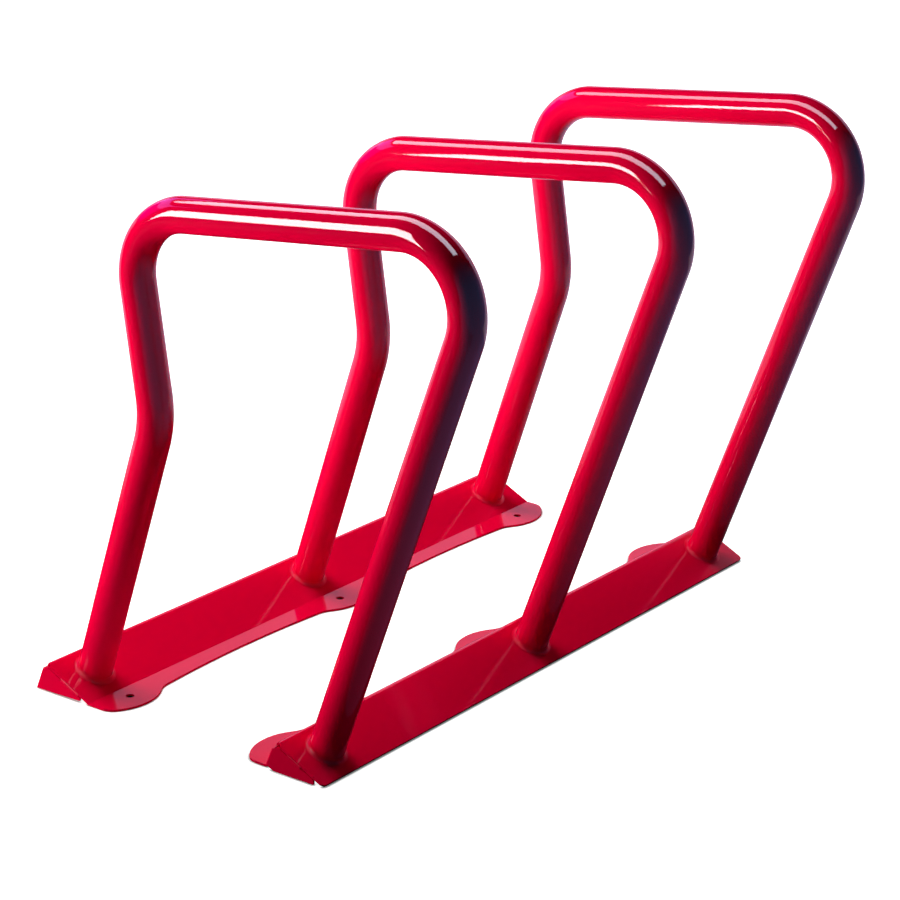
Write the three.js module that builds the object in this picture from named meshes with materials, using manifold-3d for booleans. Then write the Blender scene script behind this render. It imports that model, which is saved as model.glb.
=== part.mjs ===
// A hoop bike rack: three hoops bent from pipe stand on two folded sheet rails.
// Millimetres, +Z up. Each hoop lies in a plane of constant Y, the rails run along Y,
// and the origin is on the ground at the centre of the rack.

import * as THREE from 'three';
import { mergeVertices } from 'three/addons/utils/BufferGeometryUtils.js';
import Module from 'manifold-3d';

const wasm = await Module();
wasm.setup();

// Driving dimensions, in millimetres and degrees

// The rack as a whole
const hoopCount = 3;
const hoopSpacing = 457.2;
const railOverhang = 55.7; // from the outer hoops' axes to the rails' ends
const footSpacing = 407.9; // between the axes of a hoop's two feet, on the plates
const clearance = 0.3; // between pieces that are welded together
const overrun = 6; // of every cutting body, past the faces that it cuts

// The pipe of the hoops
const tubeDiameter = 48.3;
const tubeWall = 3.7;

// The line of a hoop: a leaning left leg with a kink, a rising top bar and a leaning right leg
const leftLegLean = 17.98; // to the right, going up
const leftShoulderLean = 9.12; // to the left, going up
const rightLegLean = 19.54; // to the right, going up
const topBarRise = 5.8; // to the right
const kinkHeight = 408.4;
const topBarHeight = 693.8; // of the bar's axis, above the midpoint between the feet
const kinkRadius = 145;
const topLeftRadius = 90;
const topRightRadius = 91;

// How the pipe flattens in the two tight bends, as shares of its radius
const outerThinningShare = 0.045;
const innerThinningShare = 0.02;
const wideningShare = 0.02;
const easingShare = 0.3; // of a bend's length, at each end, over which the flattening grows

// The folded sheet of the rails, seen along the rail: a steep leg on the left, a long plate
// that slopes down to the right, and a flat flange with an ear at each hoop
const sheet = 3;
const plateHeight = 23.1; // top of the plate at a hoop's axis
const plateSlope = 25.94;
const legFoot = 58.9; // from a hoop's axis to the foot of the steep leg
const legLean = 22.07; // to the right, going up
const apexFoldRadius = 7.5; // inside the fold between leg and plate
const flangeFoldRadius = 3; // inside the fold between flange and leg or plate
const leftFlangeReach = 70; // from a hoop's axis to the edge of the flange, halfway between ears
const rightFlangeReach = 82;
const plateEndLift = 0.6; // of the lower edge of the right rail's plate above the ground
const plateCornerRadius = 7; // at the lower corners of the right rail's plate

// The notch that frees the fold between leg and plate at each end of a rail, cut askew
const notchWidth = 10.5; // across the rail, at its end
const notchDepth = 11; // along the rail, at the crest of the fold

// The ears and their bolt holes. The edge between two ears is slightly bowed.
const earReach = 28.3; // past the edge of the flange
const earRadius = 75;
const earBlendRadius = 40;
const earCornerRadius = 25; // where an ear meets the end of the rail
const edgeBowRadius = 1850;
const leftEarSpacing = 454; // a little less than that of the hoops
const rightEarSpacing = 448;
const earShift = -5; // of the row of ears along the rail
const boltHoleDiameter = 12;
const boltHoleInset = 32; // from the tip of the ear

// The flap that closes each end of a rail, folded inwards from the steep leg
const flapFoldRadius = 1; // inside the fold
const flapGap = 1.2; // between the flap and the underside of the plate
const flapRelief = 1.2; // between the flap and the folds above and below it
const flapTip = 24; // from a hoop's axis to the blunt end of the flap
const leftFlapTipLift = 2; // of the flap's lower edge above the ground
const rightFlapTipLift = 0.5;
const flapShoulder = 5.5; // from the fold to the peak of the flap
const flapLap = 4; // by which the leg and the flap's blank run into each other

// The welds
const footWeldLeg = 6.5;
const footWeldCrown = 0.6; // by which the weld's face bulges
const seamWeldWidth = 4.4;
const seamWeldCrown = 0.8;
const seamWeldRoot = 1.6; // by which the weld reaches into the gap
const leftSeamStart = -10; // along X from a hoop's axis
const leftSeamEnd = 21;
const rightSeamStart = -19;
const rightSeamEnd = 3;

// Facets
const tubeSegments = 24;
const kinkSteps = 4;
const topLeftSteps = 12;
const topRightSteps = 14;
const weldSegments = 32;
const foldSteps = 6;
const arcSteps = 10; // in each arc of an outline
const holeSegments = 24;

// Values that follow from the dimensions
const tubeRadius = tubeDiameter / 2;
const boreRadius = tubeRadius - tubeWall;
const railHalfLength = (hoopCount - 1) * hoopSpacing / 2 + railOverhang;
const slopeAngle = THREE.MathUtils.degToRad(plateSlope);
const legAngle = THREE.MathUtils.degToRad(legLean);
const rightAngle = Math.PI / 2;
const alongRail = new THREE.Vector3(0, 1, 0);

// Points and directions of the hoop's plane

function upwards(lean) {
  const angle = THREE.MathUtils.degToRad(lean);
  return new THREE.Vector3(Math.sin(angle), 0, Math.cos(angle));
}

function rightwards(rise) {
  const angle = THREE.MathUtils.degToRad(rise);
  return new THREE.Vector3(Math.cos(angle), 0, Math.sin(angle));
}

const plateNormal = upwards(plateSlope);
const leftFoot = new THREE.Vector3(-footSpacing / 2, 0, plateHeight);
const rightFoot = new THREE.Vector3(footSpacing / 2, 0, plateHeight);

function crossing(pointA, directionA, pointB, directionB) {
  const between = pointB.clone().sub(pointA);
  const across = new THREE.Vector3().crossVectors(directionB, alongRail);
  return pointA.clone().addScaledVector(directionA, between.dot(across) / directionA.dot(across));
}

function hoopY(index) {
  return (index - (hoopCount - 1) / 2) * hoopSpacing;
}

// Lofts: a closed row of closed rings, each with as many points as the next

function ringLoft(rings) {
  const count = rings[0].length;
  const positions = rings.flat().flatMap((point) => [point.x, point.y, point.z]);
  const indices = [];
  for (let ring = 0; ring < rings.length; ring += 1) {
    const here = ring * count;
    const next = ((ring + 1) % rings.length) * count;
    for (let point = 0; point < count; point += 1) {
      const after = (point + 1) % count;
      indices.push(here + point, here + after, next + point);
      indices.push(here + after, next + after, next + point);
    }
  }
  const geometry = new THREE.BufferGeometry();
  geometry.setAttribute('position', new THREE.Float32BufferAttribute(positions, 3));
  geometry.setIndex(indices);
  geometry.computeVertexNormals();
  return geometry;
}

// The hoop

function straightStation(point, direction) {
  return { point, direction, flattening: 0, outerSide: 1 };
}

// Stations round a bend, from the straight before it to the straight after it
function bendStations(corner, before, after, radius, steps, flattens) {
  const turn = before.angleTo(after);
  const start = corner.clone().addScaledVector(before, -radius * Math.tan(turn / 2));
  const inward = after.clone().addScaledVector(before, -before.dot(after)).normalize();
  const centre = start.clone().addScaledVector(inward, radius);
  const stations = [];
  for (let step = 0; step <= steps; step += 1) {
    const angle = turn * step / steps;
    const direction = before.clone().multiplyScalar(Math.cos(angle)).addScaledVector(inward, Math.sin(angle));
    const outward = before.clone().multiplyScalar(Math.sin(angle)).addScaledVector(inward, -Math.cos(angle));
    const fromEnd = Math.min(step, steps - step) / steps;
    const flattening = flattens ? THREE.MathUtils.smoothstep(fromEnd, 0, easingShare) : 0;
    const outerSide = Math.sign(outward.dot(sideOf(direction)));
    const point = centre.clone().addScaledVector(outward, radius);
    stations.push({ point, direction, flattening, outerSide });
  }
  return stations;
}

// The direction across the tube in the hoop's plane
function sideOf(direction) {
  return new THREE.Vector3().crossVectors(alongRail, direction);
}

function hoopStations() {
  const leftLeg = upwards(leftLegLean);
  const shoulder = upwards(-leftShoulderLean);
  const topBar = rightwards(topBarRise);
  const rightLeg = upwards(rightLegLean);
  const kink = leftFoot.clone().addScaledVector(leftLeg, (kinkHeight - plateHeight) / leftLeg.z);
  const topMiddle = new THREE.Vector3(0, 0, topBarHeight);
  const topLeft = crossing(kink, shoulder, topMiddle, topBar);
  const topRight = crossing(rightFoot, rightLeg, topMiddle, topBar);
  const downRightLeg = rightLeg.clone().negate();
  return [
    straightStation(leftFoot, leftLeg),
    ...bendStations(kink, leftLeg, shoulder, kinkRadius, kinkSteps, false),
    ...bendStations(topLeft, shoulder, topBar, topLeftRadius, topLeftSteps, true),
    ...bendStations(topRight, topBar, downRightLeg, topRightRadius, topRightSteps, true),
    straightStation(rightFoot, downRightLeg),
  ];
}

// One ring of the tube, drawn in on both sides of a bend and widened along the rail
function tubeRing(station, radius) {
  const side = sideOf(station.direction);
  const ring = [];
  for (let segment = 0; segment < tubeSegments; segment += 1) {
    const angle = 2 * Math.PI * segment / tubeSegments;
    const across = Math.cos(angle);
    const isOuter = across * station.outerSide > 0;
    const thinning = (isOuter ? outerThinningShare : innerThinningShare) * station.flattening;
    const point = station.point.clone();
    point.addScaledVector(side, radius * across * (1 - thinning));
    point.addScaledVector(alongRail, radius * Math.sin(angle) * (1 + wideningShare * station.flattening));
    ring.push(point);
  }
  return ring;
}

// Slides points along a leg's axis until they lie a gap above the plate
function landOnPlate(points, foot, direction, gap) {
  for (const point of points) {
    const height = point.clone().sub(foot).dot(plateNormal);
    point.addScaledVector(direction, (gap - height) / direction.dot(plateNormal));
  }
  return points;
}

function tubeRings(stations, radius) {
  const rings = stations.map((station) => tubeRing(station, radius));
  for (const end of [0, stations.length - 1]) {
    landOnPlate(rings[end], stations[end].point, stations[end].direction, clearance);
  }
  return rings;
}

function hoopGeometry() {
  const stations = hoopStations();
  return ringLoft([...tubeRings(stations, tubeRadius), ...tubeRings(stations, boreRadius).reverse()]);
}

// The fillet weld round the foot of a leg
function footWeldGeometry(foot, lean) {
  const direction = upwards(lean);
  const side = sideOf(direction);
  const sections = [];
  for (let segment = 0; segment < weldSegments; segment += 1) {
    const angle = 2 * Math.PI * segment / weldSegments;
    const around = side.clone().multiplyScalar(Math.cos(angle)).addScaledVector(alongRail, Math.sin(angle));
    const root = foot.clone().addScaledVector(around, tubeRadius + clearance);
    landOnPlate([root], foot, direction, clearance);
    const alongPlate = around.clone().projectOnPlane(plateNormal).normalize();
    const tubeToe = root.clone().addScaledVector(direction, footWeldLeg);
    const plateToe = root.clone().addScaledVector(alongPlate, footWeldLeg);
    const outward = direction.clone().add(alongPlate).normalize();
    const crown = tubeToe.clone().lerp(plateToe, 1 / 2).addScaledVector(outward, footWeldCrown);
    sections.push([root, tubeToe, crown, plateToe]);
  }
  return ringLoft(sections);
}

// Folded sheet: a walk along one face, with straight runs and turns, left turns positive.
// Each station holds its point and the direction across the sheet to the other face.

function walkSheet(start, heading, sheetSide, moves) {
  const position = start.clone();
  let angle = heading;
  const stations = [];
  const mark = () => {
    const across = new THREE.Vector2(-Math.sin(angle), Math.cos(angle)).multiplyScalar(sheetSide);
    stations.push({ point: position.clone(), across });
  };
  mark();
  for (const { run = 0, turn = 0, radius = 0 } of moves) {
    const steps = turn ? foldSteps : 1;
    const chord = turn ? 2 * radius * Math.sin(Math.abs(turn) / steps / 2) : run;
    for (let step = 0; step < steps; step += 1) {
      angle += turn / steps / 2;
      position.x += chord * Math.cos(angle);
      position.y += chord * Math.sin(angle);
      angle += turn / steps / 2;
      mark();
    }
  }
  return stations;
}

function sheetShape(stations) {
  const near = stations.map(({ point }) => point);
  const far = stations.map(({ point, across }) => point.clone().addScaledVector(across, sheet));
  return new THREE.Shape([...near, ...far.reverse()]);
}

// Solids to join and cut

function solid(geometry) {
  geometry.deleteAttribute('normal');
  geometry.deleteAttribute('uv');
  const welded = mergeVertices(geometry);
  const vertProperties = new Float32Array(welded.attributes.position.array);
  const triVerts = new Uint32Array(welded.index.array);
  return new wasm.Manifold(new wasm.Mesh({ numProp: 3, vertProperties, triVerts }));
}

function geometryOf(body) {
  const { vertProperties, triVerts } = body.getMesh();
  const geometry = new THREE.BufferGeometry();
  geometry.setAttribute('position', new THREE.BufferAttribute(vertProperties, 3));
  geometry.setIndex(new THREE.BufferAttribute(triVerts, 1));
  geometry.computeVertexNormals();
  return geometry;
}

function extruded(shape, depth) {
  return new THREE.ExtrudeGeometry(shape, { depth, bevelEnabled: false, curveSegments: arcSteps / 2 });
}

// The rails are built in the frame of their steep leg: x across the sheet of the leg from its
// outer face, y along the rail, z up the leg from the ground. Cutting bodies that are drawn
// from a hoop's axis, with z up from the ground, are moved into that frame.
function intoLegFrame(geometry) {
  return geometry.translate(legFoot, 0, 0).rotateY(-legAngle);
}

// The corner between leg and plate, where their outer faces would meet
const steepness = Math.tan(legAngle) * Math.tan(slopeAngle);
const apexHeight = (plateHeight + legFoot * Math.tan(slopeAngle)) / (1 + steepness);
const apexX = (plateHeight - apexHeight) / Math.tan(slopeAngle);
const apexTurn = rightAngle - legAngle + slopeAngle;
const apexOuterRadius = apexFoldRadius + sheet;
const apexTangent = apexOuterRadius * Math.tan(apexTurn / 2);
const legTop = apexHeight / Math.cos(legAngle) - apexTangent;

// Length of the plate's upper face from the end of the apex fold to a place along X
function plateRun(x) {
  return (x - apexX) / Math.cos(slopeAngle) - apexTangent;
}

// Where the upper faces of the left rail's plate and flange would meet
const leftFoldX = (plateHeight - sheet) / Math.tan(slopeAngle);
const leftFoldTangent = flangeFoldRadius * Math.tan(slopeAngle / 2);

// Where the right rail's plate ends, cut square, with its lower edge just above the ground
const plateEndX = (plateHeight - plateEndLift - sheet * Math.cos(slopeAngle)) / Math.tan(slopeAngle);

// Where the straight part of the right rail's leg begins above its flange
const flangeTurn = rightAngle - legAngle;
const flangeTangent = flangeFoldRadius * Math.tan(flangeTurn / 2);
const rightLegStart = sheet / Math.cos(legAngle) + flangeTangent;

// The left rail's leg is cut square, with its inner edge on the ground
const leftLegStart = sheet * Math.tan(legAngle);

function leftRailShape() {
  const flangeRun = leftFlangeReach + earReach + overrun - leftFoldX - leftFoldTangent;
  return sheetShape(walkSheet(new THREE.Vector2(0, leftLegStart), rightAngle, -1, [
    { run: legTop - leftLegStart },
    { turn: -apexTurn, radius: apexOuterRadius },
    { run: plateRun(leftFoldX) - leftFoldTangent },
    { turn: slopeAngle, radius: flangeFoldRadius },
    { run: flangeRun },
  ]));
}

function rightRailShape() {
  const start = new THREE.Vector2(0, rightLegStart);
  const flangeStart = legFoot - sheet * Math.tan(legAngle) + flangeTangent;
  const flangeRun = rightFlangeReach + earReach + overrun - flangeStart;
  const upwardStations = walkSheet(start, rightAngle, -1, [
    { run: legTop - rightLegStart },
    { turn: -apexTurn, radius: apexOuterRadius },
    { run: plateRun(plateEndX) },
  ]);
  const downwardStations = walkSheet(start, -rightAngle, 1, [
    { turn: -flangeTurn, radius: flangeFoldRadius },
    { run: flangeRun },
  ]);
  return sheetShape([...downwardStations.slice(1).reverse(), ...upwardStations]);
}

function railSheet(shape) {
  const geometry = extruded(shape, 2 * railHalfLength);
  return solid(geometry.rotateX(rightAngle).translate(0, railHalfLength, 0));
}

// Points on an arc, without the last one, with which the next arc begins
function arcPoints(centre, radius, startAngle, endAngle) {
  const points = [];
  for (let step = 0; step < arcSteps; step += 1) {
    const angle = startAngle + (endAngle - startAngle) * step / arcSteps;
    points.push(new THREE.Vector2(centre.x + radius * Math.cos(angle), centre.y + radius * Math.sin(angle)));
  }
  return points;
}

// A row of ears along a flange that points to the right, and where the flange ends
function earRow(reach, spacing, shift, flangeEnd) {
  const earX = reach + earReach - earRadius;
  const centres = [];
  for (let index = 0; index < hoopCount; index += 1) {
    centres.push(new THREE.Vector2(earX, (index - (hoopCount - 1) / 2) * spacing + shift));
  }
  return { reach, spacing, centres, flangeEnd };
}

// The rounding between the outer ear and the flange's end, and the angle at which it meets the ear
function earCorner(row, end) {
  const ear = row.centres[end < 0 ? 0 : hoopCount - 1];
  const y = end * (row.flangeEnd - earCornerRadius);
  const x = ear.x + Math.sqrt((earRadius - earCornerRadius) ** 2 - (y - ear.y) ** 2);
  return { centre: new THREE.Vector2(x, y), angle: Math.atan2(y - ear.y, x - ear.x) };
}

// The edge between two ears: a blend out of the ear, a slight bow, and a blend into the next ear,
// with the angle round the ear at which the blend begins
function bayEdge(row) {
  const ear = row.centres[0];
  const middle = row.spacing / 2;
  const bowX = row.reach + edgeBowRadius;
  const earToBow = Math.hypot(bowX - ear.x, middle);
  const earToBlend = earRadius + earBlendRadius;
  const bowToBlend = edgeBowRadius - earBlendRadius;
  const corner = (earToBlend ** 2 + earToBow ** 2 - bowToBlend ** 2) / (2 * earToBlend * earToBow);
  const blendAngle = Math.atan2(middle, bowX - ear.x) + Math.acos(corner);
  const blendX = ear.x + earToBlend * Math.cos(blendAngle);
  const blendY = earToBlend * Math.sin(blendAngle);
  const bowAngle = Math.asin((middle - blendY) / bowToBlend);
  const blendStart = Math.PI + blendAngle;
  const bowStart = Math.PI + bowAngle;
  const bowEnd = Math.PI - bowAngle;
  const blendEnd = Math.PI - blendAngle;
  const pointsFrom = (y) => [
    ...arcPoints({ x: blendX, y: y + blendY }, earBlendRadius, blendStart, bowStart),
    ...arcPoints({ x: bowX, y: y + middle }, edgeBowRadius, bowStart, bowEnd),
    ...arcPoints({ x: blendX, y: y + row.spacing - blendY }, earBlendRadius, bowEnd, blendEnd),
  ];
  return { blendAngle, pointsFrom };
}

function earedEdge(row) {
  const first = earCorner(row, -1);
  const last = earCorner(row, 1);
  const bay = bayEdge(row);
  const points = arcPoints(first.centre, earCornerRadius, -rightAngle, first.angle);
  row.centres.forEach((ear, index) => {
    const isLast = index === hoopCount - 1;
    const startAngle = index === 0 ? first.angle : -bay.blendAngle;
    const endAngle = isLast ? last.angle : bay.blendAngle;
    points.push(...arcPoints(ear, earRadius, startAngle, endAngle));
    points.push(...(isLast ? [] : bay.pointsFrom(ear.y)));
  });
  points.push(...arcPoints(last.centre, earCornerRadius, last.angle, rightAngle));
  points.push(new THREE.Vector2(last.centre.x, row.flangeEnd));
  return points;
}

// The waste outside the flange's eared edge and past its ends
function flangeWaste(row) {
  const wasteEdge = row.reach + earReach + 2 * overrun;
  const outside = railHalfLength + overrun;
  const outline = new THREE.Shape([
    new THREE.Vector2(wasteEdge, -outside),
    new THREE.Vector2(0, -outside),
    new THREE.Vector2(0, -row.flangeEnd),
    ...earedEdge(row),
    new THREE.Vector2(0, row.flangeEnd),
    new THREE.Vector2(0, outside),
    new THREE.Vector2(wasteEdge, outside),
  ]);
  return extruded(outline, sheet + 2 * overrun).translate(0, 0, -overrun);
}

function boltHole(row, ear) {
  const hole = new THREE.CylinderGeometry(
    boltHoleDiameter / 2,
    boltHoleDiameter / 2,
    sheet + 2 * overrun,
    holeSegments,
  );
  return hole.rotateX(rightAngle).translate(row.reach + earReach - boltHoleInset, ear.y, sheet / 2);
}

// The end flap: a blank folded round the end of the leg, cut to the outline of the rail's mouth
function flapBody(end, legStart, tipLift) {
  const foldOuterRadius = flapFoldRadius + sheet;
  const flapRun = (legFoot + flapTip) / Math.cos(legAngle) + overrun;
  const start = new THREE.Vector2(0, end * (railHalfLength - foldOuterRadius - flapLap));
  const stations = walkSheet(start, end * rightAngle, -end, [
    { run: flapLap },
    { turn: -end * rightAngle, radius: foldOuterRadius },
    { run: flapRun },
  ]);
  const blank = extruded(sheetShape(stations), apexHeight - legStart).translate(0, 0, legStart);
  return solid(blank).intersect(solid(flapOutline(tipLift)));
}

// Height of the top of the flap's fold, just below the fold between leg and plate
const flapTop = legTop * Math.cos(legAngle) - flapRelief;

// Height of the flap's upper edge, which runs a gap below the underside of the plate
function flapEdgeHeight(x) {
  return plateHeight - (sheet + flapGap) / Math.cos(slopeAngle) - x * Math.tan(slopeAngle);
}

// The flap rises from the top of its fold to a peak and follows the plate from there. Its lower
// edge lies on the ground at the fold and lifts off towards the tip.
function flapOutline(tipLift) {
  const foldX = legTop * Math.sin(legAngle) - legFoot + (flapFoldRadius + sheet) / Math.cos(legAngle);
  const peakX = foldX + flapShoulder;
  const outline = new THREE.Shape();
  outline.moveTo(-legFoot - overrun, 0);
  outline.lineTo(-legFoot, 0);
  outline.lineTo(flapTip, tipLift);
  outline.lineTo(flapTip, flapEdgeHeight(flapTip));
  outline.lineTo(peakX, flapEdgeHeight(peakX));
  outline.lineTo(foldX, flapTop);
  outline.lineTo(-legFoot - overrun, flapTop);
  const length = 2 * (railHalfLength + overrun);
  const prism = extruded(outline, length).rotateX(rightAngle).translate(0, length / 2, 0);
  return intoLegFrame(prism);
}

// What is cut from the end of the leg where the flap folds away, up to halfway along the lap
function legEndWaste(end, bottom) {
  const depth = flapFoldRadius + sheet + flapLap / 2;
  const box = new THREE.BoxGeometry(sheet + 2 * overrun, depth + overrun, legTop - bottom);
  return box.translate(sheet / 2, end * (railHalfLength + (overrun - depth) / 2), (legTop + bottom) / 2);
}

// The waste outside a rounded lower corner of the right rail's plate
function plateCornerWaste(end) {
  const edge = plateEndX / Math.cos(slopeAngle);
  const arcX = edge - plateCornerRadius;
  const arcY = end * (railHalfLength - plateCornerRadius);
  const outside = end * (railHalfLength + overrun);
  const outline = new THREE.Shape();
  outline.moveTo(edge + overrun, arcY);
  outline.lineTo(edge, arcY);
  outline.absarc(arcX, arcY, plateCornerRadius, 0, end * rightAngle, end < 0);
  outline.lineTo(arcX, outside);
  outline.lineTo(edge + overrun, outside);
  const waste = extruded(outline, sheet + 2 * overrun).translate(0, 0, -sheet - overrun);
  return intoLegFrame(waste.rotateY(slopeAngle).translate(0, 0, plateHeight));
}

// The waste of the notch that parts the fold between leg and plate from the flap
function notchWaste(end) {
  const outside = end * (railHalfLength + overrun);
  const slant = notchWidth / notchDepth;
  const outline = new THREE.Shape();
  outline.moveTo(-legFoot, outside);
  outline.lineTo(-legFoot, end * (railHalfLength - notchDepth));
  outline.lineTo(apexX, end * (railHalfLength - notchDepth));
  outline.lineTo(apexX + notchWidth + slant * overrun, outside);
  return intoLegFrame(extruded(outline, apexHeight).translate(0, 0, flapTop));
}

function cutFlange(body, row, turnedBy) {
  let cut = body.subtract(solid(intoLegFrame(flangeWaste(row).rotateZ(turnedBy))));
  for (const ear of row.centres) {
    cut = cut.subtract(solid(intoLegFrame(boltHole(row, ear).rotateZ(turnedBy))));
  }
  return cut;
}

function closeEnds(body, legStart, wasteStart, tipLift) {
  let closed = body;
  for (const end of [-1, 1]) {
    closed = closed.subtract(solid(legEndWaste(end, wasteStart)));
    closed = closed.subtract(solid(notchWaste(end)));
    closed = closed.add(flapBody(end, legStart, tipLift));
  }
  return closed;
}

function leftRailGeometry() {
  const row = earRow(leftFlangeReach, leftEarSpacing, earShift, railHalfLength);
  const body = cutFlange(railSheet(leftRailShape()), row, 0);
  return geometryOf(closeEnds(body, leftLegStart, leftLegStart - overrun, leftFlapTipLift));
}

function rightRailGeometry() {
  const flangeEnd = railHalfLength - flapFoldRadius - sheet;
  const row = earRow(rightFlangeReach, rightEarSpacing, -earShift, flangeEnd);
  let body = cutFlange(railSheet(rightRailShape()), row, Math.PI);
  for (const end of [-1, 1]) {
    body = body.subtract(solid(plateCornerWaste(end)));
  }
  return geometryOf(closeEnds(body, rightLegStart + flapRelief, rightLegStart, rightFlapTipLift));
}

// The short weld that closes part of the gap between a flap and the plate.
// Drawn across the gap and out of the rail's end, and run along the gap.
function seamWeldGeometry(end, startX, endX) {
  const halfRoot = flapGap / 2 - clearance;
  const halfWidth = seamWeldWidth / 2;
  const face = clearance + seamWeldCrown / 2;
  const outline = new THREE.Shape();
  outline.moveTo(-halfRoot, -seamWeldRoot);
  outline.lineTo(halfRoot, -seamWeldRoot);
  outline.lineTo(halfRoot, clearance);
  outline.lineTo(halfWidth, clearance);
  outline.lineTo(halfWidth / 2, face + seamWeldCrown / 2);
  outline.lineTo(-halfWidth / 2, face + seamWeldCrown / 2);
  outline.lineTo(-halfWidth, clearance);
  outline.lineTo(-halfRoot, clearance);
  const length = (endX - startX) / Math.cos(slopeAngle);
  const geometry = extruded(outline, length);
  geometry.rotateZ(end < 0 ? Math.PI : 0);
  geometry.rotateY(rightAngle + slopeAngle);
  const middle = plateHeight - (sheet + flapGap / 2) / Math.cos(slopeAngle) - startX * Math.tan(slopeAngle);
  return geometry.translate(startX, end * railHalfLength, middle);
}

// Materials: one glossy red coat over all pieces

function coat(color) {
  return new THREE.MeshStandardMaterial({ color, roughness: 0.15, metalness: 0 });
}

function hoopCoat() {
  return coat('#c4002d');
}

function railCoat() {
  return coat('#bc002c');
}

function weldCoat() {
  return coat('#b8002b');
}

// The assembly

function piece(name, geometry, material) {
  const mesh = new THREE.Mesh(geometry, material);
  mesh.name = name;
  return mesh;
}

function addHoops(rack) {
  for (let index = 0; index < hoopCount; index += 1) {
    const number = index + 1;
    const hoop = piece(`hoop_${number}`, hoopGeometry(), hoopCoat());
    const leftBead = footWeldGeometry(leftFoot, leftLegLean);
    const rightBead = footWeldGeometry(rightFoot, rightLegLean);
    const leftWeld = piece(`foot_weld_left_${number}`, leftBead, weldCoat());
    const rightWeld = piece(`foot_weld_right_${number}`, rightBead, weldCoat());
    const place = new THREE.Group();
    place.position.y = hoopY(index);
    place.add(hoop, leftWeld, rightWeld);
    rack.add(place);
  }
}

function addRail(rack, side, foot, geometry, seamStart, seamEnd) {
  const rail = piece(`${side}_rail`, geometry, railCoat());
  rail.position.x = -legFoot;
  rail.rotation.y = legAngle;
  const nearSeam = piece(`seam_weld_${side}_near`, seamWeldGeometry(-1, seamStart, seamEnd), weldCoat());
  const farSeam = piece(`seam_weld_${side}_far`, seamWeldGeometry(1, seamStart, seamEnd), weldCoat());
  const place = new THREE.Group();
  place.position.x = foot.x;
  place.add(rail, nearSeam, farSeam);
  rack.add(place);
}

const rack = new THREE.Group();
addHoops(rack);
addRail(rack, 'left', leftFoot, leftRailGeometry(), leftSeamStart, leftSeamEnd);
addRail(rack, 'right', rightFoot, rightRailGeometry(), rightSeamStart, rightSeamEnd);

// The origin goes to the middle of the rack's width
const extent = new THREE.Box3().setFromObject(rack, true);
rack.position.x = -(extent.min.x + extent.max.x) / 2;

const hoopBikeRack = new THREE.Group();
hoopBikeRack.add(rack);

export default hoopBikeRack;
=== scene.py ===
"""Looks of the hoop bike rack: glossy red coat on bent pipe and folded sheet, in a white studio."""

import math

import bmesh
import bpy
from mathutils import Matrix, Vector


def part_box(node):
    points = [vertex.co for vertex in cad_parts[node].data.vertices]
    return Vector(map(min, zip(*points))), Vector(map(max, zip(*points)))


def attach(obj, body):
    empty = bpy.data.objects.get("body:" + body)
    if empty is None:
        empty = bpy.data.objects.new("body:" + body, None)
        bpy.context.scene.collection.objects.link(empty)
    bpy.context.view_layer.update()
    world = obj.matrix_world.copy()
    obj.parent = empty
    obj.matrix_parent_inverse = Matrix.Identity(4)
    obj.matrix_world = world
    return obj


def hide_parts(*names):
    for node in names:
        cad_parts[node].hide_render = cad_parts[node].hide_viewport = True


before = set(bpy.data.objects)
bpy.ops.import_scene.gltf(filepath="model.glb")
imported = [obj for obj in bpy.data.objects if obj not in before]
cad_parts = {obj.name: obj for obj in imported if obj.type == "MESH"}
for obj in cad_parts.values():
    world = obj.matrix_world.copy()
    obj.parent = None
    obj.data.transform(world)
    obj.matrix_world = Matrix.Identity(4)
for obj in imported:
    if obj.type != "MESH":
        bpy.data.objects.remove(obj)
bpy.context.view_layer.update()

UP = Vector((0, 0, 1))
DOWN = -UP
TO_BACK = Vector((0, 1, 0))
TO_RIGHT = Vector((1, 0, 0))
TO_LEFT = -TO_RIGHT

# Camera: where the photograph was taken from, in metres and degrees, with its lens in millimetres

CAMERA_PLACE = (2.1441, -2.9515, 1.5328)
CAMERA_AZIMUTH = 36.3965  # to the right, from straight before the rack's near end
CAMERA_ELEVATION = 18.9197
CAMERA_ROLL = 0.9421
CAMERA_LENS = 109.74
SENSOR_WIDTH = 36.0
NEAR_CLIP = 0.1
FAR_CLIP = 50.0


def add_camera():
    data = bpy.data.cameras.new("camera")
    data.lens = CAMERA_LENS
    data.sensor_width = SENSOR_WIDTH
    data.clip_start = NEAR_CLIP
    data.clip_end = FAR_CLIP
    camera = bpy.data.objects.new("camera", data)
    azimuth = math.radians(CAMERA_AZIMUTH)
    elevation = math.radians(CAMERA_ELEVATION)
    roll = math.radians(CAMERA_ROLL)
    back = Vector((
        math.sin(azimuth) * math.cos(elevation),
        -math.cos(azimuth) * math.cos(elevation),
        math.sin(elevation),
    ))
    level_right = (-back).cross(UP).normalized()
    level_up = level_right.cross(-back)
    right = level_right * math.cos(roll) + level_up * math.sin(roll)
    up = level_up * math.cos(roll) - level_right * math.sin(roll)
    turn = Matrix((right, up, back)).transposed().to_4x4()
    camera.matrix_world = Matrix.Translation(CAMERA_PLACE) @ turn
    bpy.context.scene.collection.objects.link(camera)
    bpy.context.scene.camera = camera


add_camera()

# Colours

COAT_RED = "#f2003a"
CARD_BLACK = "#000000"
CARD_WHITE = "#ffffff"
CARD_VIOLET = "#7010ff"
CARD_NAVY = "#6080c8"
LAMP_WHITE = "#ffffff"
LAMP_COOL_WHITE = "#e6eeff"
LAMP_VIOLET = "#8070ff"
FLOOR_GREY = "#f0f0f0"
# painted shade, seen through the bolt holes
HOLE_SHADE = "#14100f"
BACKDROP_WHITE = "#ffffff"  # as the camera sees it
BACKDROP_LILAC = "#e4d0ff"  # as the coat reflects it


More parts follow.
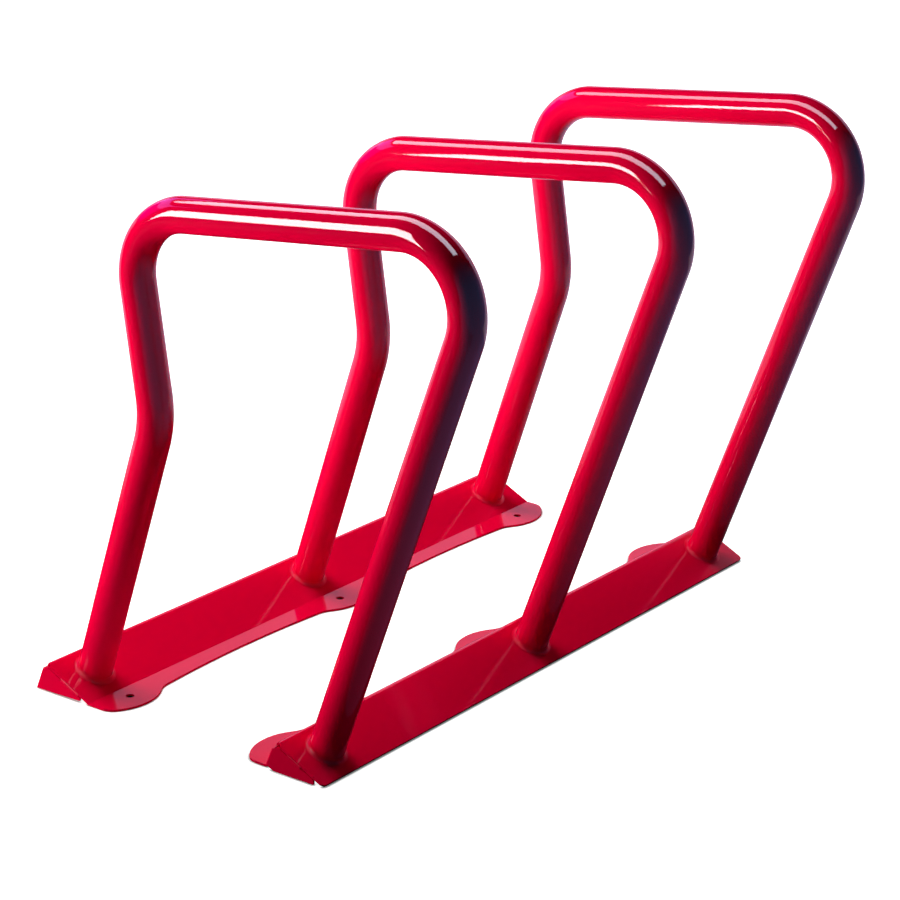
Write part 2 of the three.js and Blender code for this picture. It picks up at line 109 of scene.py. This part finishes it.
def linear(hex_colour):
    """An sRGB hex colour as linear red, green, blue and alpha."""
    channels = [int(hex_colour[i:i + 2], 16) / 255 for i in (1, 3, 5)]
    return [c / 12.92 if c <= 0.04045 else ((c + 0.055) / 1.055) ** 2.4 for c in channels] + [1]


# Materials

MM = 0.001
PEEL_WAVE = 6.25  # millimetres from crest to crest of the orange peel
PEEL_DETAIL = 2.0
PEEL_HEIGHT = 1.0  # millimetres at full strength
PEEL_STRENGTH = 0.03
COAT_IOR = 1.5


def add_node(tree, kind, settings=None, links=None):
    """Adds a node to a tree, sets its settings and sockets, and links its inputs."""
    node = tree.nodes.new(kind)
    for name, value in (settings or {}).items():
        if isinstance(name, int) or name in node.inputs:
            node.inputs[name].default_value = value
        else:
            setattr(node, name, value)
    for name, output in (links or {}).items():
        tree.links.new(output, node.inputs[name])
    return node


def new_material(name):
    material = bpy.data.materials.new(name)
    material.use_nodes = True
    material.node_tree.nodes.clear()
    return material, material.node_tree


def powder_coat(name, roughness, shine):
    """Glossy polyester powder coat, sprayed on steel and baked.

    It is one even, deep red. Its reflections are sharp but not quite still: the baked coat
    keeps the shallow waves of orange peel.
    """
    material, tree = new_material(name)
    place = add_node(tree, "ShaderNodeTexCoord")
    peel = add_node(tree, "ShaderNodeTexNoise", {
        "Scale": 1 / (PEEL_WAVE * MM),
        "Detail": PEEL_DETAIL,
    }, {"Vector": place.outputs["Object"]})
    bump = add_node(tree, "ShaderNodeBump", {
        "Strength": PEEL_STRENGTH,
        "Distance": PEEL_HEIGHT * MM,
    }, {"Height": peel.outputs["Fac"]})
    shader = add_node(tree, "ShaderNodeBsdfPrincipled", {
        "Base Color": linear(COAT_RED),
        "Roughness": roughness,
        "Specular IOR Level": shine,
        "IOR": COAT_IOR,
    }, {"Normal": bump.outputs["Normal"]})
    add_node(tree, "ShaderNodeOutputMaterial", {}, {"Surface": shader.outputs["BSDF"]})
    return material


# Dimensions, in millimetres and degrees, as in the part

ALONG_RAIL = TO_BACK
HOOP_COUNT = 3
HOOP_SPACING = 457.2
FOOT_SPACING = 407.9
CLEARANCE = 0.3
PIPE_DIAMETER = 48.3
PIPE_WALL = 3.7
LEFT_LEG_LEAN = 17.98
SHOULDER_LEAN = 9.12
RIGHT_LEG_LEAN = 19.54
TOP_BAR_RISE = 5.8
KINK_HEIGHT = 408.4
TOP_BAR_HEIGHT = 693.8
KINK_RADIUS = 145
TOP_LEFT_RADIUS = 90
TOP_RIGHT_RADIUS = 91
OUTER_THINNING = 0.045  # shares of the pipe's radius, as the next two
INNER_THINNING = 0.02
WIDENING = 0.02
EASING = 0.3  # share of a bend's length
PLATE_HEIGHT = 23.1
PLATE_SLOPE = 25.94
LEG_FOOT = 58.9

# Rows of bolt holes: X, and the Y of each hole
ANCHOR_HOLES = ((-225.5, (-459.0, -5.0, 449.0)), (37.8, (-453.0, -5.0, 443.0)))

# The model's origin is in the middle of the rack's width, not between the hoops' feet
RACK_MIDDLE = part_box("left_rail")[0].x / MM + LEG_FOOT + FOOT_SPACING / 2


def upwards(lean):
    angle = math.radians(lean)
    return Vector((math.sin(angle), 0, math.cos(angle)))


def rightwards(rise):
    angle = math.radians(rise)
    return Vector((math.cos(angle), 0, math.sin(angle)))


PLATE_NORMAL = upwards(PLATE_SLOPE)
LEFT_FOOT = Vector((RACK_MIDDLE - FOOT_SPACING / 2, 0, PLATE_HEIGHT))
RIGHT_FOOT = Vector((RACK_MIDDLE + FOOT_SPACING / 2, 0, PLATE_HEIGHT))


def crossing(point_a, along_a, point_b, along_b):
    """Where two lines in a hoop's plane cross."""
    across = along_b.cross(ALONG_RAIL)
    return point_a + along_a * ((point_b - point_a).dot(across) / along_a.dot(across))


def along_rails(index):
    """The way from the rack's middle to a hoop."""
    return ALONG_RAIL * (index - (HOOP_COUNT - 1) / 2) * HOOP_SPACING


def frame_at(point, side, direction):
    """A frame on the pipe: X across it in the hoop's plane, Y along the rails, Z along the pipe."""
    turn = Matrix((side, ALONG_RAIL, direction)).transposed().to_4x4()
    return Matrix.Translation(point) @ turn


def frame_on_run(point, direction):
    return frame_at(point, ALONG_RAIL.cross(direction), direction)


# Pieces

SHARP_ANGLE = 35


def finish_piece(name, bm, node, material):
    """Makes an object of a mesh that stands for a CAD node."""
    mesh = bpy.data.meshes.new(name)
    bm.to_mesh(mesh)
    bm.free()
    mesh.shade_smooth()
    mesh.set_sharp_from_angle(angle=math.radians(SHARP_ANGLE))
    mesh.materials.append(material)
    piece = bpy.data.objects.new(name, mesh)
    bpy.context.scene.collection.objects.link(piece)
    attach(piece, "root")
    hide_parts(node)


# Bent pipe

PIPE_SEGMENTS = 96
KINK_STEPS = 12
BEND_STEPS = 40
FOOT_ZONE = 3 * PIPE_DIAMETER  # height up to which a foot's cut is looked for


def verts_in(geometry):
    return [item for item in geometry if isinstance(item, bmesh.types.BMVert)]


def edges_in(geometry):
    return [item for item in geometry if isinstance(item, bmesh.types.BMEdge)]


def each_once(items):
    return list(dict.fromkeys(items))


def extrude_ring(bm, ring, offset):
    """Draws a ring of edges out into a straight run and returns the new ring."""
    drawn = bmesh.ops.extrude_edge_only(bm, edges=edges_in(ring))["geom"]
    verts = verts_in(drawn)
    bmesh.ops.translate(bm, verts=verts, vec=offset)
    ends = set(verts)
    return verts + [edge for edge in edges_in(drawn) if ends.issuperset(edge.verts)]


def spin_ring(bm, ring, corner, before, after, radius, steps, flattens):
    """Bends a ring of edges round a corner, and flattens the pipe between the bend's ends."""
    turn = before.angle(after)
    start = corner - before * radius * math.tan(turn / 2)
    inward = (after - before * before.dot(after)).normalized()
    centre = start + inward * radius
    axis = before.cross(inward)
    sections = []
    for step in range(1, steps + 1):
        spun = bmesh.ops.spin(bm, geom=ring, cent=centre, axis=axis, angle=turn / steps, steps=1)
        ring = spun["geom_last"]
        sections.append((step, verts_in(ring)))
    for step, verts in sections if flattens else []:
        angle = turn * step / steps
        outward = before * math.sin(angle) - inward * math.cos(angle)
        direction = before * math.cos(angle) + inward * math.sin(angle)
        # The flattening grows smoothly from nothing at both ends of the bend
        share = min(1, min(step, steps - step) / steps / EASING)
        flattening = share * share * (3 - 2 * share)
        to_pipe = frame_at(centre + outward * radius, outward, direction).inverted()
        outside = [v for v in verts if (to_pipe @ v.co).x > 0]
        inside = [v for v in verts if (to_pipe @ v.co).x <= 0]
        for half, thinning in ((outside, OUTER_THINNING), (inside, INNER_THINNING)):
            scale = Vector((1 - thinning * flattening, 1 + WIDENING * flattening, 1))
            bmesh.ops.scale(bm, vec=scale, space=to_pipe, verts=half)
    return ring


def pipe_skin(bm, radius, offset):
    """One wall of a hoop's pipe, open at both feet, which it crosses by a little."""
    left_leg, shoulder = upwards(LEFT_LEG_LEAN), upwards(-SHOULDER_LEAN)
    top_bar, right_leg = rightwards(TOP_BAR_RISE), upwards(RIGHT_LEG_LEAN)
    top_middle = Vector((RACK_MIDDLE, 0, TOP_BAR_HEIGHT))
    kink = LEFT_FOOT + left_leg * ((KINK_HEIGHT - PLATE_HEIGHT) / left_leg.z)
    top_left = crossing(kink, shoulder, top_middle, top_bar)
    top_right = crossing(RIGHT_FOOT, right_leg, top_middle, top_bar)
    start = LEFT_FOOT - left_leg * radius
    verts = bmesh.ops.create_circle(bm, segments=PIPE_SEGMENTS, radius=radius)["verts"]
    bmesh.ops.transform(bm, verts=verts, matrix=frame_on_run(start + offset, left_leg))
    ring = verts + each_once(edge for v in verts for edge in v.link_edges)
    here = start
    bends = (
        (kink, left_leg, shoulder, KINK_RADIUS, KINK_STEPS, False),
        (top_left, shoulder, top_bar, TOP_LEFT_RADIUS, BEND_STEPS, True),
        (top_right, top_bar, -right_leg, TOP_RIGHT_RADIUS, BEND_STEPS, True),
    )
    for corner, before, after, bend_radius, steps, flattens in bends:
        reach = bend_radius * math.tan(before.angle(after) / 2)
        ring = extrude_ring(bm, ring, corner - before * reach - here)
        ring = spin_ring(bm, ring, corner + offset, before, after, bend_radius, steps, flattens)
        here = corner + after * reach
    extrude_ring(bm, ring, RIGHT_FOOT - right_leg * radius - here)


def cut_foot(bm, foot, offset):
    """Cuts both walls of the pipe just above the plate and closes the rim between them."""
    def is_beside(vert):
        return abs(vert.co.x - foot.x) < FOOT_SPACING / 2

    near_foot = [v for v in bm.verts if is_beside(v) and v.co.z < FOOT_ZONE]
    faces = each_once(face for v in near_foot for face in v.link_faces)
    edges = each_once(edge for face in faces for edge in face.edges)
    verts = each_once(v for face in faces for v in face.verts)
    bmesh.ops.bisect_plane(
        bm,
        geom=verts + edges + faces,
        plane_co=foot + offset + PLATE_NORMAL * CLEARANCE,
        plane_no=PLATE_NORMAL,
        clear_inner=True,
    )
    rims = [edge for edge in bm.edges if edge.is_boundary and is_beside(edge.verts[0])]
    bmesh.ops.bridge_loops(bm, edges=rims)


def add_hoop(index, material):
    bm = bmesh.new()
    offset = along_rails(index)
    pipe_skin(bm, PIPE_DIAMETER / 2, offset)
    pipe_skin(bm, PIPE_DIAMETER / 2 - PIPE_WALL, offset)
    cut_foot(bm, LEFT_FOOT, offset)
    cut_foot(bm, RIGHT_FOOT, offset)
    bmesh.ops.recalc_face_normals(bm, faces=bm.faces)
    bmesh.ops.scale(bm, vec=(MM, MM, MM), verts=bm.verts)
    finish_piece(f"bent_pipe_{index + 1}", bm, f"hoop_{index + 1}", material)


# Foot welds

WELD_LEG = 5.5
WELD_DIP = 0.2327  # of the middle of the face, further in than a quarter circle
WELD_STEPS = 8
WELD_SPIN_STEPS = 120
MERGE_DISTANCE = 0.001


def add_foot_weld(side, index, foot, lean, material):
    """A fillet weld round a leg's foot: a hollow-faced profile, spun and laid on the plate."""
    bm = bmesh.new()
    root_radius = PIPE_DIAMETER / 2 + CLEARANCE
    root = bm.verts.new((root_radius, 0, 0))
    drawn = bmesh.ops.extrude_vert_indiv(bm, verts=[root])
    toe = verts_in(drawn["verts"])[0]
    bmesh.ops.translate(bm, verts=[toe], vec=TO_RIGHT * WELD_LEG)
    # The face runs from the toe on the plate to the toe on the pipe, round a centre outside
    centre = Vector((root_radius + WELD_LEG, 0, WELD_LEG))
    bmesh.ops.spin(
        bm, geom=[toe], cent=centre, axis=ALONG_RAIL, angle=math.pi / 2, steps=WELD_STEPS)
    *face, upper_toe = sorted((v for v in bm.verts if v not in (root, toe)), key=lambda v: v.co.z)
    bmesh.ops.contextual_create(bm, geom=[upper_toe, root])
    to_root = (DOWN + TO_LEFT).normalized()
    for step, v in enumerate(face, start=1):
        dip = WELD_DIP * math.sin(math.pi * step / WELD_STEPS)
        bmesh.ops.translate(bm, verts=[v], vec=to_root * dip)
    bmesh.ops.spin(
        bm,
        geom=list(bm.verts) + list(bm.edges),
        cent=(0, 0, 0),
        axis=UP,
        angle=2 * math.pi,
        steps=WELD_SPIN_STEPS,
        use_merge=True,
    )
    bmesh.ops.remove_doubles(bm, verts=bm.verts, dist=MERGE_DISTANCE)
    bmesh.ops.recalc_face_normals(bm, faces=bm.faces)
    # A shear lays the ring on the slope, a clearance above the plate
    slope = math.radians(PLATE_SLOPE - lean)
    lay = Matrix.Identity(4)
    lay[2][0] = -math.tan(slope)
    lay[2][3] = CLEARANCE / math.cos(slope)
    place = frame_on_run(foot + along_rails(index), upwards(lean))
    bmesh.ops.transform(bm, verts=bm.verts, matrix=Matrix.Scale(MM, 4) @ place @ lay)
    piece, node = (f"{kind}_{side}_{index + 1}" for kind in ("fillet", "foot_weld"))
    finish_piece(piece, bm, node, material)


def add_rack():
    """Coats the CAD nodes that stay, and adds the pieces that stand for the others."""
    # The pipe's coat is the glossiest. The sheet takes less shine from the room, as in the
    # photograph, and over a weld's ripples the coat is dull.
    on_pipe = powder_coat("red_powder_coat_on_pipe", roughness=0.05, shine=0.5)
    on_sheet = powder_coat("red_powder_coat_on_sheet", roughness=0.07, shine=0.2)
    on_weld = powder_coat("red_powder_coat_on_welds", roughness=0.3, shine=0.1)
    for name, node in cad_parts.items():
        node.data.materials.clear()
        node.data.materials.append(on_weld if "weld" in name else on_sheet)
    for index in range(HOOP_COUNT):
        add_hoop(index, on_pipe)
        add_foot_weld("left", index, LEFT_FOOT, LEFT_LEG_LEAN, on_weld)
        add_foot_weld("right", index, RIGHT_FOOT, RIGHT_LEG_LEAN, on_weld)


# Studio, in metres

FLOOR_RADIUS = 12.0
FLOOR_SEGMENTS = 96
FLOOR_LEVEL = -0.0005
NEAR_GLOW = 0.93  # of the floor, for the camera, round the rack
NEAR_GLOW_END = 0.8  # distance from the rack's middle, as the next
FULL_GLOW_START = 2.2
BEHIND_FADE = (0.5, 1.1)  # along Y: there the floor turns white in reflections
LEFT_FADE = (-1.3, -1.8)  # along X: the same
# Painted contact shade: the floor's glow dims where ambient occlusion finds the rack close
CONTACT_REACH = 0.0035
CONTACT_SAMPLES = 8
CONTACT_POWER = 3.0
# Painted shade under the bolt holes: dark discs on the ground
HOLE_SHADE_RADIUS = 0.009
HOLE_SHADE_SEGMENTS = 32
HOLE_SHADE_LEVEL = -0.00025
FLAG_LEVEL = 0.0005
CARD_LEVEL = 0.001
SOFT_LIGHT = 0.008  # of the room itself, on the object


def stage_object(name, bm, material):
    """Makes an object of a mesh that isn't part of the rack."""
    mesh = bpy.data.meshes.new(name)
    bm.to_mesh(mesh)
    bm.free()
    mesh.materials.append(material)
    stage = bpy.data.objects.new(name, mesh)
    bpy.context.scene.collection.objects.link(stage)
    return stage


def backdrop_tint(tree, light_path):
    """White for the camera, and lilac in reflections."""
    tint = add_node(tree, "ShaderNodeMix", {
        "data_type": "RGBA",
        6: linear(BACKDROP_WHITE),
        7: linear(BACKDROP_LILAC),
    }, {0: light_path.outputs["Is Glossy Ray"]})
    return tint.outputs[2]


def white_floor():
    """Pale paint that the camera sees as white, with the rack's faint shadow on it and painted shade
    where sheet meets ground.
    """
    material, tree = new_material("white_studio_floor")
    light_path = add_node(tree, "ShaderNodeLightPath")
    place = add_node(tree, "ShaderNodeTexCoord").outputs["Object"]
    axes = add_node(tree, "ShaderNodeSeparateXYZ", {}, {"Vector": place})

    # For the camera: white, a little less near the rack, and painted shade, dark where sheet meets
    # ground
    distance = add_node(tree, "ShaderNodeVectorMath", {"operation": "LENGTH"}, {0: place})
    open_glow = add_node(tree, "ShaderNodeMapRange", {
        "From Min": NEAR_GLOW_END, "From Max": FULL_GLOW_START,
        "To Min": NEAR_GLOW, "To Max": 1.0,
    }, {"Value": distance.outputs["Value"]})
    openness = add_node(tree, "ShaderNodeAmbientOcclusion", {
        "samples": CONTACT_SAMPLES, "Distance": CONTACT_REACH})
    painted_contact_shade = add_node(tree, "ShaderNodeMath", {"operation": "POWER", 1: CONTACT_POWER}, {
        0: openness.outputs["AO"]})
    camera_glow = add_node(tree, "ShaderNodeMath", {"operation": "MULTIPLY"}, {
        0: painted_contact_shade.outputs[0], 1: open_glow.outputs["Result"]})
    to_camera = add_node(tree, "ShaderNodeMath", {"operation": "MULTIPLY"}, {
        0: light_path.outputs["Is Camera Ray"], 1: camera_glow.outputs[0]})

    # In reflections: white only behind the rack and far to its left
    behind = add_node(tree, "ShaderNodeMapRange", {
        "From Min": BEHIND_FADE[0], "From Max": BEHIND_FADE[1], "To Min": 0.0, "To Max": 1.0,
    }, {"Value": axes.outputs["Y"]})
    left = add_node(tree, "ShaderNodeMapRange", {
        "From Min": LEFT_FADE[0], "From Max": LEFT_FADE[1], "To Min": 0.0, "To Max": 1.0,
    }, {"Value": axes.outputs["X"]})
    far_glow = add_node(tree, "ShaderNodeMath", {"operation": "MAXIMUM"}, {
        0: behind.outputs["Result"], 1: left.outputs["Result"]})
    reflected = add_node(tree, "ShaderNodeMath", {"operation": "MAXIMUM"}, {
        0: light_path.outputs["Is Glossy Ray"], 1: light_path.outputs["Is Transmission Ray"]})
    to_gloss = add_node(tree, "ShaderNodeMath", {"operation": "MULTIPLY"}, {
        0: reflected.outputs[0], 1: far_glow.outputs[0]})

    strength = add_node(tree, "ShaderNodeMath", {"operation": "ADD"}, {
        0: to_camera.outputs[0], 1: to_gloss.outputs[0]})
    glow = add_node(tree, "ShaderNodeEmission", {}, {
        "Color": backdrop_tint(tree, light_path), "Strength": strength.outputs[0]})
    paint = add_node(tree, "ShaderNodeBsdfDiffuse", {"Color": linear(FLOOR_GREY)})
    black = add_node(tree, "ShaderNodeBsdfDiffuse", {"Color": linear(CARD_BLACK)})
    ground = add_node(tree, "ShaderNodeMixShader", {}, {
        "Fac": light_path.outputs["Is Glossy Ray"],
        1: paint.outputs["BSDF"],
        2: black.outputs["BSDF"],
    })
    both = add_node(tree, "ShaderNodeAddShader", {}, {
        0: ground.outputs["Shader"], 1: glow.outputs["Emission"]})
    add_node(tree, "ShaderNodeOutputMaterial", {}, {"Surface": both.outputs["Shader"]})
    return material


def add_floor():
    bm = bmesh.new()
    bmesh.ops.create_circle(bm, cap_ends=True, segments=FLOOR_SEGMENTS, radius=FLOOR_RADIUS)
    floor = stage_object("studio_floor", bm, white_floor())
    floor.location.z = FLOOR_LEVEL


def add_painted_hole_shade():
    """Painted shade: dark discs on the ground under the bolt holes, standing in for the shade inside
    them.
    """
    material, tree = new_material("painted_shade_under_bolt_holes")
    shade = add_node(tree, "ShaderNodeBsdfDiffuse", {"Color": linear(HOLE_SHADE)})
    add_node(tree, "ShaderNodeOutputMaterial", {}, {"Surface": shade.outputs["BSDF"]})
    bm = bmesh.new()
    for x, rows in ANCHOR_HOLES:
        for y in rows:
            bmesh.ops.create_circle(
                bm,
                cap_ends=True,
                segments=HOLE_SHADE_SEGMENTS,
                radius=HOLE_SHADE_RADIUS,
                matrix=Matrix.Translation((x * MM, y * MM, HOLE_SHADE_LEVEL)),
            )
    stage_object("painted_hole_shade", bm, material)


def add_card(name, centre, facing, size, colour, glow=0.0, fade=("Z", 0.0, 1.0), gloss=True):
    """A studio card that the camera doesn't see; its light grows along an axis."""
    axis, start, end = fade
    material, tree = new_material(name)
    place = add_node(tree, "ShaderNodeTexCoord")
    along = add_node(tree, "ShaderNodeSeparateXYZ", {}, {"Vector": place.outputs["Object"]})
    light = add_node(tree, "ShaderNodeMapRange", {
        "interpolation_type": "SMOOTHSTEP",
        "From Min": start, "From Max": end, "To Min": 0.0, "To Max": glow,
    }, {"Value": along.outputs[axis]})
    lit = add_node(tree, "ShaderNodeEmission", {"Color": linear(colour)}, {
        "Strength": light.outputs["Result"]})
    add_node(tree, "ShaderNodeOutputMaterial", {}, {"Surface": lit.outputs["Emission"]})
    bm = bmesh.new()
    bmesh.ops.create_grid(bm, x_segments=1, y_segments=1, size=0.5)
    turn = Vector(facing).to_track_quat("Z", "Y").to_matrix().to_4x4()
    stretch = Matrix.Diagonal((*size, 1, 1))
    bmesh.ops.transform(bm, verts=bm.verts, matrix=Matrix.Translation(centre) @ turn @ stretch)
    card = stage_object(name, bm, material)
    card.visible_camera = False
    card.visible_shadow = False
    card.visible_glossy = gloss
    # A card whose glow is for reflections doesn't light the rack
    card.visible_diffuse = glow == 0 or not gloss


def add_lamp(name, centre, facing, size, radiance, colour=LAMP_WHITE, gloss=True, diffuse=True):
    """A rectangular softbox, unseen by the camera, for reflections, for lighting or for both."""
    lamp = bpy.data.lights.new(name, "AREA")
    lamp.shape = "RECTANGLE"
    lamp.size, lamp.size_y = size
    lamp.energy = radiance * math.pi * lamp.size * lamp.size_y
    lamp.color = linear(colour)[:3]
    box = bpy.data.objects.new(name, lamp)
    box.location = centre
    box.rotation_mode = "QUATERNION"
    box.rotation_quaternion = Vector(facing).to_track_quat("-Z", "Y")
    box.visible_camera = False
    box.visible_glossy = gloss
    box.visible_diffuse = diffuse
    bpy.context.scene.collection.objects.link(box)


def add_world():
    """A white room for the camera and in reflections, which itself lights the rack hardly at all."""
    world = bpy.data.worlds.new("white_studio")
    world.use_nodes = True
    tree = world.node_tree
    tree.nodes.clear()
    light_path = add_node(tree, "ShaderNodeLightPath")
    reflected = add_node(tree, "ShaderNodeMath", {"operation": "MAXIMUM"}, {
        0: light_path.outputs["Is Glossy Ray"], 1: light_path.outputs["Is Transmission Ray"]})
    seen = add_node(tree, "ShaderNodeMath", {"operation": "MAXIMUM"}, {
        0: light_path.outputs["Is Camera Ray"], 1: reflected.outputs[0]})
    white = add_node(tree, "ShaderNodeBackground", {"Strength": 1.0}, {
        "Color": backdrop_tint(tree, light_path)})
    soft = add_node(tree, "ShaderNodeBackground", {
        "Color": linear(BACKDROP_WHITE), "Strength": SOFT_LIGHT})
    room = add_node(tree, "ShaderNodeMixShader", {}, {
        "Fac": seen.outputs[0], 1: soft.outputs["Background"], 2: white.outputs["Background"]})
    add_node(tree, "ShaderNodeOutputWorld", {}, {"Surface": room.outputs["Shader"]})
    bpy.context.scene.world = world


def add_cards():
    # Black cards shut the white room out of the reflections, except behind the rack
    add_card("front_card", centre=(-2.0, -7.0, 3.0), facing=TO_BACK, size=(12.0, 7.0),
             colour=CARD_BLACK)
    add_card("left_card", centre=(-7.0, -3.75, 3.0), facing=TO_RIGHT, size=(6.5, 7.0),
             colour=CARD_BLACK)
    # Navy, fading upwards, for the dark core of the right legs
    add_card("right_card", centre=(1.7, -1.0, 1.75), facing=TO_LEFT, size=(11.0, 3.5),
             colour=CARD_NAVY, glow=1.0, fade=("Z", 2.6, 0.9))
    # It ends above the rack's far end, so that the flat flanges still mirror the white room
    add_card("ceiling_card", centre=(-2.0, -0.6, 4.4), facing=DOWN, size=(12.0, 14.0),
             colour=CARD_BLACK)
    add_card("front_floor_card", centre=(-2.0, -4.0, CARD_LEVEL), facing=UP, size=(12.0, 6.4),
             colour=CARD_BLACK)
    add_card("right_floor_card", centre=(2.22, -2.7, CARD_LEVEL), facing=UP, size=(4.0, 7.2),
             colour=CARD_NAVY, glow=1.0, fade=("X", 0.0, 0.9))
    # Flags keep the pale floor's light off the rack's dark sides; a strip gives back a little
    add_card("right_floor_flag", centre=(2.1, -0.9, FLAG_LEVEL), facing=UP, size=(4.2, 10.8),
             colour=CARD_WHITE, glow=0.02, fade=("X", 0.0, 0.3), gloss=False)
    add_card("right_floor_glow", centre=(0.45, -0.1, CARD_LEVEL), facing=UP, size=(0.5, 1.6),
             colour=CARD_WHITE, glow=0.3, fade=("X", 0.15, 0.4), gloss=False)
    # Violet sheen on the outside of the left bends
    add_card("left_glow_card", centre=(-3.4, -0.6, 1.6), facing=TO_RIGHT, size=(3.0, 1.2),
             colour=CARD_VIOLET, glow=1.0, fade=("Z", 0.95, 1.3))
    add_card("rear_floor_flag", centre=(-2.0, 3.7, FLAG_LEVEL), facing=UP, size=(12.0, 5.9),
             colour=CARD_BLACK, gloss=False)
    add_card("left_floor_flag", centre=(-4.2, 0.0, FLAG_LEVEL), facing=UP, size=(7.4, 1.6),
             colour=CARD_BLACK, gloss=False)


def add_lamps():
    # In reflections only: the two bright lines along each top bar, and the left bends' sheen
    add_lamp("front_strip", centre=(-0.67, -1.35, 0.91), facing=TO_BACK, size=(0.92, 0.62),
             radiance=21.0, diffuse=False)
    add_lamp("top_panel", centre=(-0.36, -0.15, 2.4), facing=DOWN, size=(3.45, 0.85),
             radiance=9.0, colour=LAMP_COOL_WHITE, diffuse=False)
    add_lamp("left_panel", centre=(-3.6, -0.3, 2.4), facing=(0.88, 0.0, -0.47), size=(3.6, 1.6),
             radiance=3.2, colour=LAMP_VIOLET, diffuse=False)
    # Lighting only: the coat's own red, bright on the left and dark on the right
    add_lamp("key_softbox", centre=(-3.8, -3.3, 1.0), facing=(0.75, 0.65, -0.1), size=(2.2, 2.0),
             radiance=11.0, gloss=False)
    add_lamp("floor_bounce", centre=(-1.25, -1.0, 0.02), facing=UP, size=(1.3, 2.4),
             radiance=7.5, gloss=False)
    add_lamp("top_softbox", centre=(-1.55, -0.15, 2.5), facing=DOWN, size=(2.1, 1.5),
             radiance=6.6, gloss=False)
    add_lamp("rear_softbox", centre=(-0.3, 4.0, 1.3), facing=(0.0, -0.97, -0.2), size=(2.0, 1.8),
             radiance=7.0, gloss=False)


add_world()
add_floor()
add_rack()
add_cards()
add_painted_hole_shade()
add_lamps()

bpy.context.scene.view_settings.view_transform = "Standard"
